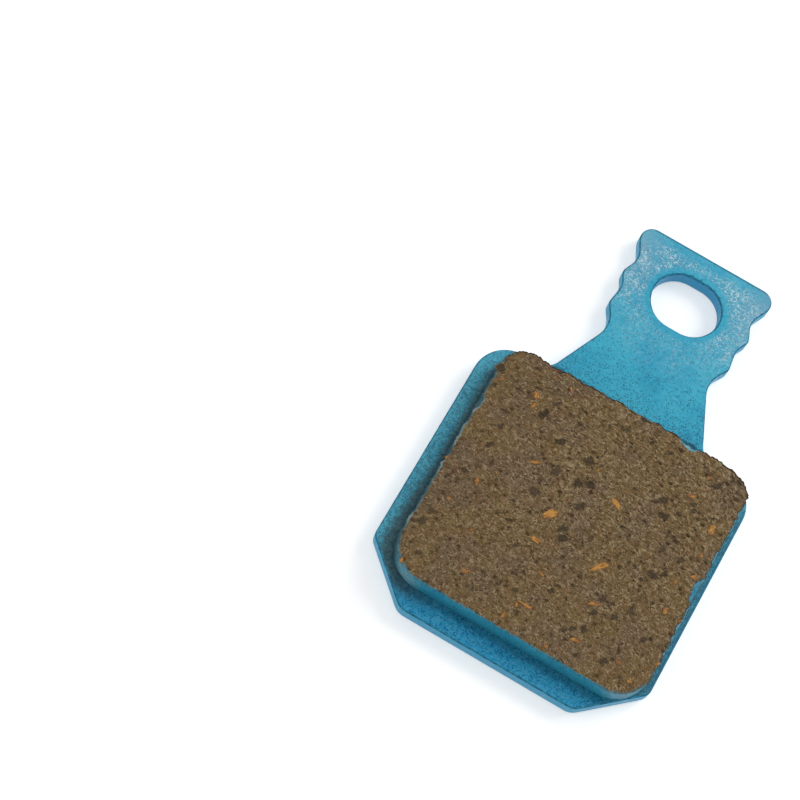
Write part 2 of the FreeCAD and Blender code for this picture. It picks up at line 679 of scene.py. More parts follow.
@dataclass(frozen=True)
class PaintedPlate:
    """Stoved paint on the stamped steel plate.

    The plate shows the paint at its best on the tab, with painted glints round the slot and a painted
    sheen on the ears. Round the friction block it is thin and pricked with pinholes. At the block's foot on
    the left and right it is dusted and darkened by painted shadow, a grey tint lies over the left rim,
    painted shade runs round the foot and behind the top edge, and painted shade darkens the lower rim to a
    stronger blue. The upright sides are painted a brighter blue for the light they catch. Along the sharp
    front edge it is so thin that the steel makes a dark line. Lengths are in millimetres.
    """

    paint: StovePaint
    block: RoundedSlab
    slot: RoundedSlab
    corner: Vector
    # Dusting with painted shadow in it, at the block's foot on the left and right
    dust_and_shadow: str = "#425659"
    pale_dust_and_shadow: str = "#6C8182"
    dust_size: float = 0.25
    # Grey tint over the left rim
    left_grey_tint: str = "#84B6B8"
    # Painted shade that darkens the lower rim to a stronger blue
    low_blue: str = "#0E93CE"
    # Painted sheen on the ears
    ear_painted_sheen: str = "#9DB9CA"
    # Painted shade at the block's foot and behind its top edge, then the dark line where the film is thin
    foot_shade: str = "#09303F"
    thin_edge: str = "#1D6080"
    # Brighter blue painted on the upright sides, for the light they catch
    side: str = "#3CADDF"
    specular: float = 0.18
    peel_depth: float = 0.012
    peel_strength: float = 0.6

    # Sizes of the film's patches and of the waves along its edges
    glint_patch_size: float = 1.818
    thin_patch_size: float = 1.25
    wave_size: float = 0.4545

    # Ramps of how far the surface faces up
    faces_front: Ramp = (0.90, 0.98)
    faces_side: Ramp = (0.45, 0.15, 0.0, 0.7)
    roll_in: Ramp = (-1.0, -0.985)
    roll_out: Ramp = (-0.80, -0.92)
    back_glint: Ramp = (-0.70, -0.90, 0.0, 0.12)
    break_in: Ramp = (0.35, 0.5)
    break_out: Ramp = (0.95, 0.85)

    # Ramps of the distance from the slot and from the block
    ring_in: Ramp = (0.3, 1.0)
    ring_out: Ramp = (5.0, 2.2)
    slot_frayed: Ramp = (0.62, 0.50, 0.0, 0.8)
    near_block: Ramp = (8.5, 1.5)
    on_rim: Ramp = (3.0, 1.6)
    dust_shadow_reach: Ramp = (0.40, -0.35, 0.0, 0.8)
    shade_reach: Ramp = (0.0, -0.45, 0.0, 0.42)
    # Painted shadow on the plate just behind the block's top edge
    shadow_behind_reach: Ramp = (0.40, 0.24, 0.0, 0.9)

    # Ramps of the place on the plate: from the middle of the pad, the slot or the block, or from an edge of
    # the block or the plate
    tab_foot: Ramp = (-4.0, -0.5, 0.28, 1.0)
    tab_top: Ramp = (4.3, 3.5, 0.15, 1.0)
    slot_far: Ramp = (-1.0, 1.0)
    ear_out: Ramp = (3.4, 6.4, 0.0, 0.42)
    ear_up: Ramp = (-2.0, 2.5)
    low_down: Ramp = (12.0, 8.0)
    low_rim: Ramp = (1.0, -0.4)
    left_rim: Ramp = (5.5, 1.6)
    right_rim: Ramp = (-0.8, 0.1, 0.0, 0.55)
    dust_shadow_gathers: Ramp = (-8.0, -15.0, 0.0, 0.42)
    past_top: Ramp = (0.0, 0.2)
    shadow_behind_flaked: Ramp = (-8.0, -5.5, 0.5)
    end_line: Ramp = (-0.26, -0.16, 0.0, 0.7)

    # Ramps of a noise
    glint_span: Ramp = (0.32, 0.58, 0.45, 1.0)
    thin_span: Ramp = (0.36, 0.62, 0.25, 1.0)
    dust_shadow_span: Ramp = (0.45, 0.68)
    line_worn: Ramp = (0.42, 0.58, 0.40, 0.90)

    # Strength off and on the rim or the lower rim, and shares of what is laid over
    low_pinholes: Pair = (1.0, 0.08)
    rim_mottle: Pair = (0.20, 0.72)
    left_grey: Pair = (0.16, 0.0)
    shade_bank: Pair = (0.0, 0.38)
    low_mottle: float = 0.42
    low_shade_share: float = 0.5
    glint_mottle: float = 0.35
    foot_wave: float = -0.9
    slot_wave: float = 0.8

    def reach(self, tree: Tree, place: Node, slab: RoundedSlab) -> Node:
        """Add nodes for the distance from a slab's outline.

        Args:
            tree: node tree of the material.
            place: node of the place in millimetres.
            slab: slab to measure from.

        Returns:
            Node of the distance outside the outline, which is negative inside.
        """
        add = partial(add_node, tree)
        radius = slab.lower_radius
        core = (slab.half[0] - radius, slab.half[1] - radius, 0)
        offset = add("VectorMath", [place, (*slab.centre, 0)], operation="SUBTRACT")
        mirrored = add("VectorMath", [offset], operation="ABSOLUTE")
        past = add("VectorMath", [mirrored, core], operation="SUBTRACT")
        outside = add("VectorMath", [past, (0, 0, 0)], operation="MAXIMUM")
        flat = add("VectorMath", [outside, FLAT], operation="MULTIPLY")
        length = add("VectorMath", [flat], operation="LENGTH").outputs["Value"]
        return add("Math", [length, radius], operation="SUBTRACT")

    def glint_zone(self, tree: Tree, place: Node, to_slot: Node, level: Socket, front: Node) -> Node:
        """Add nodes for where the film gets painted glints.

        Args:
            tree: node tree of the material.
            place: node of the place in millimetres.
            to_slot: distance from the slot.
            level: how far the surface faces up.
            front: 1 on the front face, else 0.

        Returns:
            Node of the painted glints' strength: round the slot on the front, along the rolled edges on the
            back.
        """
        add = partial(add_node, tree)
        along = add("SeparateXYZ", [place]).outputs["Y"]
        slot_y = self.slot.centre[1]
        ring_in = add("MapRange", [to_slot, *self.ring_in], **SMOOTH)
        ring_out = add("MapRange", [to_slot, *self.ring_out], **SMOOTH)
        upper = add("MapRange", [along, *shifted(self.tab_foot, slot_y)], **SMOOTH)
        below_top = add("MapRange", [along, *shifted(self.tab_top, slot_y)], **SMOOTH)
        patch = add("TexNoise", {"Vector": place, "Scale": 1 / self.glint_patch_size, "Detail": 2.0})
        patchy = add("MapRange", [patch, *self.glint_span])
        ring = overlap(tree, ring_in, ring_out)
        on_front = overlap(tree, ring, overlap(tree, upper, below_top, patchy), front)
        roll_in = add("MapRange", [level, *self.roll_in])
        roll_out = add("MapRange", [level, *self.roll_out])
        back = add("MapRange", [level, *self.back_glint])
        on_back = add("Math", [back, overlap(tree, roll_in, roll_out)], operation="ADD")
        return add("Math", [on_front, on_back], operation="MAXIMUM")

    def material(self) -> Material:
        """Make the material of the plate.

        Returns:
            The material.
        """
        material = new_material("stoved_blue_paint_on_blasted_steel")
        tree = material.node_tree
        add = partial(add_node, tree)
        both = partial(overlap, tree)
        place = place_in_mm(tree)
        parts = add("SeparateXYZ", [place]).outputs
        x = parts["X"]
        y = parts["Y"]
        facing = add("TexCoord").outputs["Normal"]
        level = add("SeparateXYZ", [facing]).outputs["Z"]
        to_block = self.reach(tree, place, self.block)
        to_slot = self.reach(tree, place, self.slot)
        slot_y = self.slot.centre[1]
        block_x, block_y = self.block.centre
        half_x, half_y = self.block.half
        front = add("MapRange", [level, *self.faces_front])

        # How thin and mottled the film is, and where it gets painted glints
        glints = self.glint_zone(tree, place, to_slot, level, front)
        near_block = add("MapRange", [to_block, *self.near_block], **SMOOTH)
        spread = add("TexNoise", {"Vector": place, "Scale": 1 / self.thin_patch_size, "Detail": 3.0})
        spots = add("MapRange", [spread, *self.thin_span])
        on_rim = add("MapRange", [to_block, *self.on_rim], **SMOOTH)
        low_down = add("MapRange", [y, *shifted(self.low_down, block_y)])
        low_rim = add("MapRange", [y, *shifted(self.low_rim, block_y - half_y)])
        low_front = both(low_rim, front)
        fewer = add("MapRange", [low_front, 0, 1, *self.low_pinholes])
        pinholes = both(spots, front, near_block, fewer)
        evenly = add("MapRange", [both(on_rim, low_down, front), 0, 1, *self.rim_mottle])
        mottle = add("Math", [low_front, self.low_mottle, evenly], operation="MULTIPLY_ADD")
        # Stronger mottle round the painted glints
        crumpled = add("Math", [glints, self.glint_mottle, mottle], operation="MULTIPLY_ADD")
        film = self.paint.lay(tree, place, pinholes, crumpled, glints)

        # Painted sheen on ears, grey left rim, painted shade on lower rim, painted light on sides
        off_middle = add("Math", [x], operation="ABSOLUTE")
        ear = add("MapRange", [off_middle, *self.ear_out])
        high = add("MapRange", [y, *shifted(self.ear_up, slot_y)])
        sheened_ears = both(ear, high, front)
        leftward = add("MapRange", [x, *shifted(self.left_rim, block_x - half_x)])
        rightward = add("MapRange", [x, *shifted(self.right_rim, block_x + half_x)])
        off_low = add("MapRange", [low_rim, 0, 1, *self.left_grey])
        greyed = both(leftward, off_low, front)
        # Painted shade on the lower rim
        painted_low_shade = add("Math", [low_front, self.low_shade_share], operation="MULTIPLY")
        # Painted light: the upright sides get a brighter blue
        upright = add("Math", [level], operation="ABSOLUTE")
        on_side = add("MapRange", [upright, *self.faces_side])

        # Dusting and painted shadow at the block's foot, painted shade round it and behind its top edge
        wave = {"Scale": 1 / self.wave_size, "Detail": 4.0, "Roughness": 0.65}
        wobble = add("TexNoise", {"Vector": place, **wave})
        to_foot = add("Math", [wobble, self.foot_wave, to_block], operation="MULTIPLY_ADD")
        gathered = add("MapRange", [y, *self.dust_shadow_gathers])
        in_dust_shadow = add("Math", [to_foot, gathered], operation="SUBTRACT")
        at_foot = add("MapRange", [in_dust_shadow, *self.dust_shadow_reach], **SMOOTH)
        sideward = add("Math", [leftward, rightward], operation="ADD")
        dust_shadowed = both(at_foot, sideward, front)
        grain = {"Scale": 1 / self.dust_size, "Detail": 3.0, "Roughness": 0.7}
        crumbs = add("TexNoise", {"Vector": place, **grain})
        paler = add("MapRange", [crumbs, *self.dust_shadow_span])
        # Colour of the dusting and its painted shadow
        powder = coats(tree, self.dust_and_shadow, (paler, self.pale_dust_and_shadow))
        banked = add("MapRange", [low_rim, 0, 1, *self.shade_bank])
        in_shade = add("Math", [to_foot, banked], operation="SUBTRACT")
        close = add("MapRange", [in_shade, *self.shade_reach], **SMOOTH)
        past_top = add("MapRange", [y, *shifted(self.past_top, block_y + half_y)])
        shadow_behind = add("MapRange", [to_foot, *self.shadow_behind_reach], **SMOOTH)
        flaked = add("MapRange", [x, *shifted(self.shadow_behind_flaked, block_x + half_x)])
        shadowed = add("Math", [close, both(shadow_behind, flaked, past_top)], operation="MAXIMUM")
        shady = both(shadowed, front)

        # Dark lines where the film is thin: the broken front edges, the slot's far rim and the plate's ends
        above = add("MapRange", [level, *self.break_in])
        below = add("MapRange", [level, *self.break_out])
        worn = add("MapRange", [wobble, *self.line_worn])
        wavy = add("Math", [wobble, self.slot_wave, to_slot], operation="MULTIPLY_ADD")
        frayed = add("MapRange", [wavy, *self.slot_frayed], **SMOOTH)
        past_slot = add("MapRange", [y, *shifted(self.slot_far, slot_y)])
        front_far = both(frayed, past_slot, front)
        thin = add("Math", [both(above, below, worn), front_far], operation="MAXIMUM")
        for measure, end in ((x, self.corner.x), (y, self.corner.y)):
            end_line = add("MapRange", [measure, *shifted(self.end_line, end)])
            thin = add("Math", [thin, both(end_line, above)], operation="MAXIMUM")
        # Laid over the film: painted sheen, tint, painted shade and light, dusting, painted shadow, thin lines
        colour = coats(
            tree,
            film.colour,
            (sheened_ears, self.ear_painted_sheen),
            (greyed, self.left_grey_tint),
            (painted_low_shade, self.low_blue),
            (on_side, self.side),
            (dust_shadowed, powder),
            (shady, self.foot_shade),
            (thin, self.thin_edge),
        )
        inputs = {"Base Color": colour, "Roughness": film.roughness, "Specular IOR Level": self.specular}
        shade(tree, inputs, film.height, self.peel_depth, self.peel_strength)
        return material


@dataclass(frozen=True)
class GroundCompound:
    """Ground friction compound with paint on its walls.

    Ceramic powder, fibres and graphite bound in resin: to the eye a dull brown grit, with short light fibres
    drawn out along the grinding arcs and dark pits where grains broke out. The grit's dark hollows, light
    ridges and light specks are partly the compound's own mix and partly painted shade and highlight, and
    the dark beside each fibre and in the pits is painted shade. The walls and plug ends keep the paint that
    was sprayed on before grinding: painted shade darkens the walls towards the foot, they are dusted and
    darkened by painted shadow on the left, a painted highlight lies on a lower corner, and the plug ends get
    painted glints. Its film ends in a pale ragged line at the face, partly a painted highlight. Real powder
    and fibres are too fine for the render, so they are drawn as coarse as they need to show. Lengths are in
    millimetres, and lines and spans are ramps of the noise that draws them.
    """

    paint: StovePaint
    grinding: Grinding
    plate_level: float
    left: float
    highlight_middle: Vector
    warm_brown: str = "#765F3A"
    grey_brown: str = "#6E5A43"
    # Dark for the grit's hollows and beside fibres, light for its ridges: partly painted shade and highlight
    dark: str = "#3A2A17"
    light: str = "#8A7251"
    rust: str = "#76543A"
    fibre: str = "#AE9A78"
    # Light specks are partly painted highlights, and the dark of the pits is painted shade
    speck: str = "#CFC0A4"
    pit: str = "#261B0E"
    # Pale film edge, partly a painted highlight
    pale_film_and_highlight: str = "#A0B9B8"
    # Painted shade on the walls, and dusting with painted shadow on the left wall
    wall_shade: str = "#0B5870"
    left_dust_and_shadow: str = "#3C4A46"
    # Painted highlight on the lower-left wall corner
    corner_highlight: str = "#86A9B2"
    patch_size: float = 3.0
    patch_span: Ramp = (0.40, 0.62)
    rust_size: float = 1.3
    rust_span: Ramp = (0.50, 0.66, 0.0, 0.45)
    grit_size: float = 0.36
    hollow_span: Ramp = (0.49, 0.30, 0.0, 0.65)
    ridge_span: Ramp = (0.53, 0.70, 0.0, 0.65)
    fibre_length: float = 0.46
    fibre_width: float = 0.22
    fibre_line: Ramp = (0.06, 0.02)
    fibre_patch: float = 0.50
    fibre_span: Ramp = (0.42, 0.62, 0.25, 0.85)
    fibre_rise: float = 0.4
    furrow_level: float = 0.6
    furrow_line: Ramp = (0.06, 0.02, 0.0, 0.5)
    furrow_rise: float = -0.3
    speck_size: float = 0.16
    speck_span: Ramp = (0.67, 0.78, 0.0, 0.7)
    small_pit_span: Ramp = (0.37, 0.27, 0.0, 0.75)
    small_pit_rise: float = -0.5
    grain_depth: float = 0.04
    grain_strength: float = 0.8
    roughness: Pair = (0.85, 0.62)
    specular: float = 0.15

    # Parts of the face that are smeared over more evenly: ramps of the place along and across the pad
    low_calm: Ramp = (-6.0, -15.0, 0.0, 0.15)
    left_calm: Ramp = (-2.0, -9.0, 0.0, 0.24)

    # The film: its look on the walls and on the plugs, and how it ends at the face
    film_mottle: Pair = (0.30, 0.75)
    film_pinholes: Pair = (0.20, 1.0)
    film_glints: Pair = (0.0, 0.4)
    film_rag_size: float = 0.3333
    film_ragged: float = 0.14
    film_reach: float = 0.28
    film_break: float = 1.4
    film_break_span: Ramp = (0.42, 0.56, 0.2, 1.0)
    # Painted shade towards the walls' foot, and dusting with painted shadow on the left
    wall_shade_reach: Ramp = (2.0, 0.0, 0.3, 0.6)
    left_dust_shadow_reach: Ramp = (1.8, 0.5, 0.0, 0.75)
    # Painted highlight on the block's lower-left wall corner
    highlight_fade: float = -4.0
    highlight_reach: Ramp = (1.9, 0.0, 0.0, 0.7)

    def lay(self, tree: Tree, place: Node) -> Surface:
        """Add the nodes of the ground face.

        Args:
            tree: node tree of the material.
            place: node of the place in millimetres.

        Returns:
            The face's colour, roughness and height.
        """
        add = partial(add_node, tree)
        patch = add("TexNoise", {"Vector": place, "Scale": 1 / self.patch_size, "Detail": 3.0})
        greyer = add("MapRange", [patch, *self.patch_span], **SMOOTH)
        stain = add("TexNoise", {"Vector": place, "Scale": 1 / self.rust_size, "Detail": 3.0})
        rusty = add("MapRange", [stain, *self.rust_span])
        matrix = coats(tree, self.warm_brown, (greyer, self.grey_brown), (rusty, self.rust))
        grain = {"Scale": 1 / self.grit_size, "Detail": 2.0, "Roughness": 0.6, "Distortion": 0.6}
        grit = add("TexNoise", {"Vector": place, **grain})
        # Darker hollows, lighter ridges: partly the grit's own mix, partly painted shade and highlight
        low = add("MapRange", [grit, *self.hollow_span], **SMOOTH)
        high = add("MapRange", [grit, *self.ridge_span], **SMOOTH)

        arc = self.grinding.unroll(tree, place)
        stretch = (1 / self.fibre_length, 1 / self.fibre_width, 1 / self.fibre_width)
        drawn = add("VectorMath", [arc, stretch], operation="MULTIPLY")
        curl = add("TexNoise", {"Vector": drawn, "Scale": 1.0, "Detail": 2.0, "Distortion": 0.6})
        # Dark line beside each fibre: painted shade in a real groove of the relief
        shaded_furrow = contour(tree, curl, self.furrow_line, self.furrow_level)
        broken = add("TexNoise", {"Vector": place, "Scale": 1 / self.fibre_patch, "Detail": 2.0})
        pieces = add("MapRange", [broken, *self.fibre_span], **SMOOTH)
        fibres = overlap(tree, contour(tree, curl, self.fibre_line), pieces)

        # Light specks, partly painted highlights, and small pits darkened with painted shade
        dot = add("TexNoise", {"Vector": place, "Scale": 1 / self.speck_size, "Detail": 1.0})
        specks_and_highlights = add("MapRange", [dot, *self.speck_span], **SMOOTH)
        small_pits = add("MapRange", [dot, *self.small_pit_span], **SMOOTH)
        # Larger pits, darkened with painted shade
        large_pits = add("Attribute", attribute_name="pit").outputs["Fac"]
        pits = add("Math", [large_pits, small_pits], operation="MAXIMUM")
        parts = add("SeparateXYZ", [place]).outputs
        low_calm = add("MapRange", [parts["Y"], *self.low_calm])
        left_calm = add("MapRange", [parts["X"], *self.left_calm])
        calm = add("Math", [low_calm, left_calm], operation="MAXIMUM")
        colour = coats(
            tree,
            matrix,
            (low, self.dark),
            (high, self.light),
            (shaded_furrow, self.dark),
            (fibres, self.fibre),
            (specks_and_highlights, self.speck),
            (pits, self.pit),
            (calm, matrix),
        )
        height = grit
        rises = ((fibres, self.fibre_rise), (shaded_furrow, self.furrow_rise), (small_pits, self.small_pit_rise))
        for mask, rise in rises:
            height = add("Math", [mask, rise, height], operation="MULTIPLY_ADD")
        roughness = add("MapRange", [grit, 0, 1, *self.roughness])
        return Surface(colour, roughness, height)

    def material(self) -> Material:
        """Make the material of the block.

        Returns:
            The material.
        """
        material = new_material("ground_ceramic_friction_compound")
        tree = material.node_tree
        add = partial(add_node, tree)
        both = partial(overlap, tree)
        place = place_in_mm(tree)
        parts = add("SeparateXYZ", [place]).outputs
        level = parts["Z"]
        face = self.lay(tree, place)

        # The film on the walls and plugs, with painted glints on the plugs
        below_plate = add("Math", [level, self.plate_level], operation="LESS_THAN")
        off_plug = add("Math", [1.0, below_plate], operation="SUBTRACT")
        looks = (self.film_pinholes, self.film_mottle, self.film_glints)
        film = self.paint.lay(tree, place, *(add("MapRange", [below_plate, 0, 1, *look]) for look in looks))
        to_foot = add("MapRange", [level, *shifted(self.wall_shade_reach, self.plate_level)])
        leftward = add("MapRange", [parts["X"], *shifted(self.left_dust_shadow_reach, self.left)])

        # Where it ends at the face, partly a painted highlight, and the painted highlight on a lower corner
        rags = {"Scale": 1 / self.film_rag_size, "Detail": 4.0, "Roughness": 0.7}
        ragged = add("TexNoise", {"Vector": place, **rags})
        shift = add("Math", [ragged, NOISE_MIDDLE], operation="SUBTRACT")
        under_edge = add("Attribute", attribute_name="film").outputs["Fac"]
        soft = add("Attribute", attribute_name="soft").outputs["Fac"]
        pale = add("Attribute", attribute_name="pale").outputs["Fac"]
        depth = add("Math", [shift, self.film_ragged, under_edge], operation="MULTIPLY_ADD")
        painted = add("Math", [depth, soft], operation="DIVIDE", use_clamp=True)
        near_edge = add("MapRange", [depth, self.film_reach, 0.0], **SMOOTH)
        breaks = add("TexNoise", {"Vector": place, "Scale": 1 / self.film_break, "Detail": 2.0})
        unbroken = add("MapRange", [breaks, *self.film_break_span])
        # Pale line where the film ends, partly a painted highlight
        edge_paleness_and_highlight = both(near_edge, both(pale, unbroken))
        from_highlight = add("VectorMath", [place, self.highlight_middle], operation="SUBTRACT")
        off_highlight = add("VectorMath", [from_highlight], operation="LENGTH").outputs["Value"]
        faded = add("Math", [shift, self.highlight_fade, off_highlight], operation="MULTIPLY_ADD")
        corner_highlight = add("MapRange", [faded, *self.highlight_reach], **SMOOTH)
        # Painted shade on the walls, dusting with painted shadow on the left, then the painted highlights
        film_colour = coats(
            tree,
            film.colour,
            (both(to_foot, off_plug), self.wall_shade),
            (both(leftward, off_plug), self.left_dust_and_shadow),
            (corner_highlight, self.corner_highlight),
            (edge_paleness_and_highlight, self.pale_film_and_highlight),
        )
        colour = coats(tree, face.colour, (painted, film_colour))
        roughness = add("Mix", [painted, face.roughness, film.roughness], **NUMBERS)
        height = add("Mix", [painted, face.height, film.height], **NUMBERS)
        inputs = {"Base Color": colour, "Roughness": roughness, "Specular IOR Level": self.specular}
        shade(tree, inputs, height, self.grain_depth, self.grain_strength)
        return material


@dataclass(frozen=True)
class CutBit:
    """Surface of a shaving or grain that the grinding wheel cut through.

    Its middle shows what it is made of, and its edge is smeared over with the compound that holds it.
    The dark ring round it is partly painted shadow, and a middle fresher than its edge, as on copper, is
    partly a painted highlight.
    Lengths are in millimetres.

    Attributes:
        compound: finish of the compound round it.
        name: name of the material.
        fresh: colour where the wheel cut it clean.
        dull: colour where it is tarnished or smeared.
        metallic: how much of it is bare metal.
        edge: how far from its edge the smear reaches, as a share of its size.
        cover: the share of its middle that isn't smeared over.
        streak: length and width of the streaks in its surface.
        core: how much duller its middle is than its edge; a fresher middle is partly a painted highlight.
        skin: how dull its edge is.
        streaked: how strongly the streaks change its dullness.
        smear_size: size of the smears.
        smeared: how unevenly they reach over its edge.
        rim: how dark the joint round it is, partly painted shadow.
        relief: how strongly the compound's relief shows on it.
    """

    compound: GroundCompound
    name: str
    fresh: str
    dull: str
    metallic: float
    edge: float
    cover: float
    streak: Pair
    core: float
    skin: float
    streaked: float = 5.5
    smear_size: float = 0.15
    smeared: float = 1.2
    rim: float = 1.5
    relief: float = 0.6

    def material(self) -> Material:
        """Make the material of the bits.

        Returns:
            The material.
        """
        material = new_material(self.name)
        tree = material.node_tree
        add = partial(add_node, tree)
        place = place_in_mm(tree)
        face = self.compound.lay(tree, place)
        heart = add("Attribute", attribute_name="heart").outputs["Fac"]
        tarnish = add("Attribute", attribute_name="tarnish").outputs["Fac"]
        own = add("Attribute", attribute_name="own").outputs["Vector"]
        pitch = (1 / self.streak[0], 1 / self.streak[1], 1)
        drawn = add("VectorMath", [own, pitch], operation="MULTIPLY")
        scored = add("TexNoise", {"Vector": drawn, "Scale": 1.0, "Detail": 2.0, "Roughness": 0.6})
        off_score = add("Math", [scored, NOISE_MIDDLE], operation="SUBTRACT")
        # A middle fresher than the edge, as on copper, is partly a painted highlight
        inner = add("Math", [heart, self.core, tarnish], operation="MULTIPLY_ADD")
        outer = add("Math", [inner, self.skin], operation="ADD")
        tarnished = add("Math", [off_score, self.streaked, outer], operation="MULTIPLY_ADD", use_clamp=True)
        bare = coats(tree, self.fresh, (tarnished, self.dull))
        smudge = {"Scale": 1 / self.smear_size, "Detail": 3.0, "Roughness": 0.65}
        smear = add("TexNoise", {"Vector": place, **smudge})
        uneven = add("Math", [smear, NOISE_MIDDLE], operation="SUBTRACT")
        reach = add("Math", [uneven, self.smeared, heart], operation="MULTIPLY_ADD")
        shown = add("MapRange", [reach, 0.0, self.edge, 0.0, self.cover], **SMOOTH)
        covered = add("Math", [1.0, shown], operation="SUBTRACT")
        halfway = overlap(tree, shown, covered)
        # Dark ring round the bit: partly the joint, partly painted shadow
        seam_and_shadow = add("Math", [halfway, self.rim], operation="MULTIPLY")
        inputs = {
            "Base Color": coats(tree, face.colour, (shown, bare), (seam_and_shadow, self.compound.pit)),
            "Roughness": face.roughness,
            "Specular IOR Level": self.compound.specular,
        }
        if self.metallic > 0:
            inputs["Metallic"] = add("Math", [shown, self.metallic], operation="MULTIPLY")
        shade(tree, inputs, face.height, self.compound.grain_depth, self.relief)
        return material


@dataclass
class BackingPlate:
    """Stamped steel plate, which keeps its CAD solid.

    Attributes:
        slot_centre: middle of the pin slot in millimetres.
        slot_half: half the slot's length and half its width in millimetres.
    """

    slot_centre: Pair = (0.0, 15.235)
    slot_half: Pair = (3.05, 2.5)

    def dress(self, paint: StovePaint, block: RoundedSlab) -> None:
        """Paint the plate.

        Args:
            paint: the paint.
            block: outline of the friction block, round whose foot the paint is thin and dusted, with painted
                shade and shadow.
        """
        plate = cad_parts[PLATE_NODE]
        end_radius = self.slot_half[1]
        slot = RoundedSlab(self.slot_centre, self.slot_half, end_radius, end_radius)
        plate.data.materials.clear()
        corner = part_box(PLATE_NODE)[1] * PER_MM
        plate.data.materials.append(PaintedPlate(paint, block, slot, corner).material())
        log.info("%s: painted", plate.name)


@dataclass(frozen=True)
class Chip:
    """Piece missing from the block's edge, placed by the pixel of the photograph that shows its middle.

    Attributes:
        px: pixel from the left.
        py: pixel from the top.
        reach: half the chip's length along the edge in millimetres.
        inward: its depth into the edge in millimetres, which is negative for a tooth that stands out.
        down: its depth below the face in millimetres.
        facet: whether it is a slanted flake that was painted over, instead of a notch down the wall.
    """

    px: float
    py: float
    reach: float
    inward: float
    down: float
    facet: bool = False


@dataclass(frozen=True)
class EdgeLook:
    """How the block's face ends on one side. Lengths are in millimetres.

    Attributes:
        broken: width of the broken edge.
        ragged: depth of its ragged line.
        bare: how far down the wall the paint is missing.
        follow: share of the ragged line that goes on down the wall.
        pale: how pale the film is along its upper edge, partly a painted highlight.
        soft: depth over which the film covers the compound.
    """

    broken: float
    ragged: float
    bare: float
    follow: float
    pale: float
    soft: float

    def towards(self, other: "EdgeLook", share: float) -> "EdgeLook":
        """Mix this look with the next side's.

        Args:
            other: look of the next side.
            share: share of the next side's look, from 0 to 1.

        Returns:
            The mixed look.
        """
        mixed = {}
        for part in fields(self):
            own = getattr(self, part.name)
            mixed[part.name] = own + (getattr(other, part.name) - own) * share
        return EdgeLook(**mixed)


EDGE_LOOKS = {
    Side.RIGHT: EdgeLook(broken=0.14, ragged=0.24, bare=0.05, follow=0.25, pale=0.3, soft=0.10),
    Side.UPPER_RIGHT: EdgeLook(broken=0.22, ragged=0.32, bare=0.22, follow=0.25, pale=0.0, soft=0.06),
    Side.TOP: EdgeLook(broken=0.12, ragged=0.34, bare=0.7, follow=0.25, pale=0.0, soft=0.06),
    Side.UPPER_LEFT: EdgeLook(broken=0.34, ragged=0.26, bare=0.05, follow=0.6, pale=0.2, soft=0.22),
    Side.LEFT: EdgeLook(broken=0.26, ragged=0.24, bare=0.02, follow=1.0, pale=1.0, soft=0.06),
    Side.LOWER_LEFT: EdgeLook(broken=0.38, ragged=0.14, bare=0.02, follow=0.5, pale=0.7, soft=0.08),
    Side.BOTTOM: EdgeLook(broken=0.24, ragged=0.14, bare=0.01, follow=0.3, pale=0.0, soft=0.08),
    Side.LOWER_RIGHT: EdgeLook(broken=0.40, ragged=0.12, bare=0.06, follow=0.25, pale=0.9, soft=0.20),
}


@dataclass(frozen=True)
class Tear:
    """One layer of the ragged line along an edge. Lengths are in millimetres.

    Attributes:
        size: size of its teeth along the edge.
        down: depth over which they change.
        weight: its share of the ragged line's depth.
    """

    size: float
    down: float
    weight: float

    def at(self, point: Vector, depth: float) -> float:
        """Work out its share at a point of the outline and a depth."""
        where = Vector((point.x / self.size, point.y / self.size, depth / self.down))
        return self.weight * noise.noise(where)


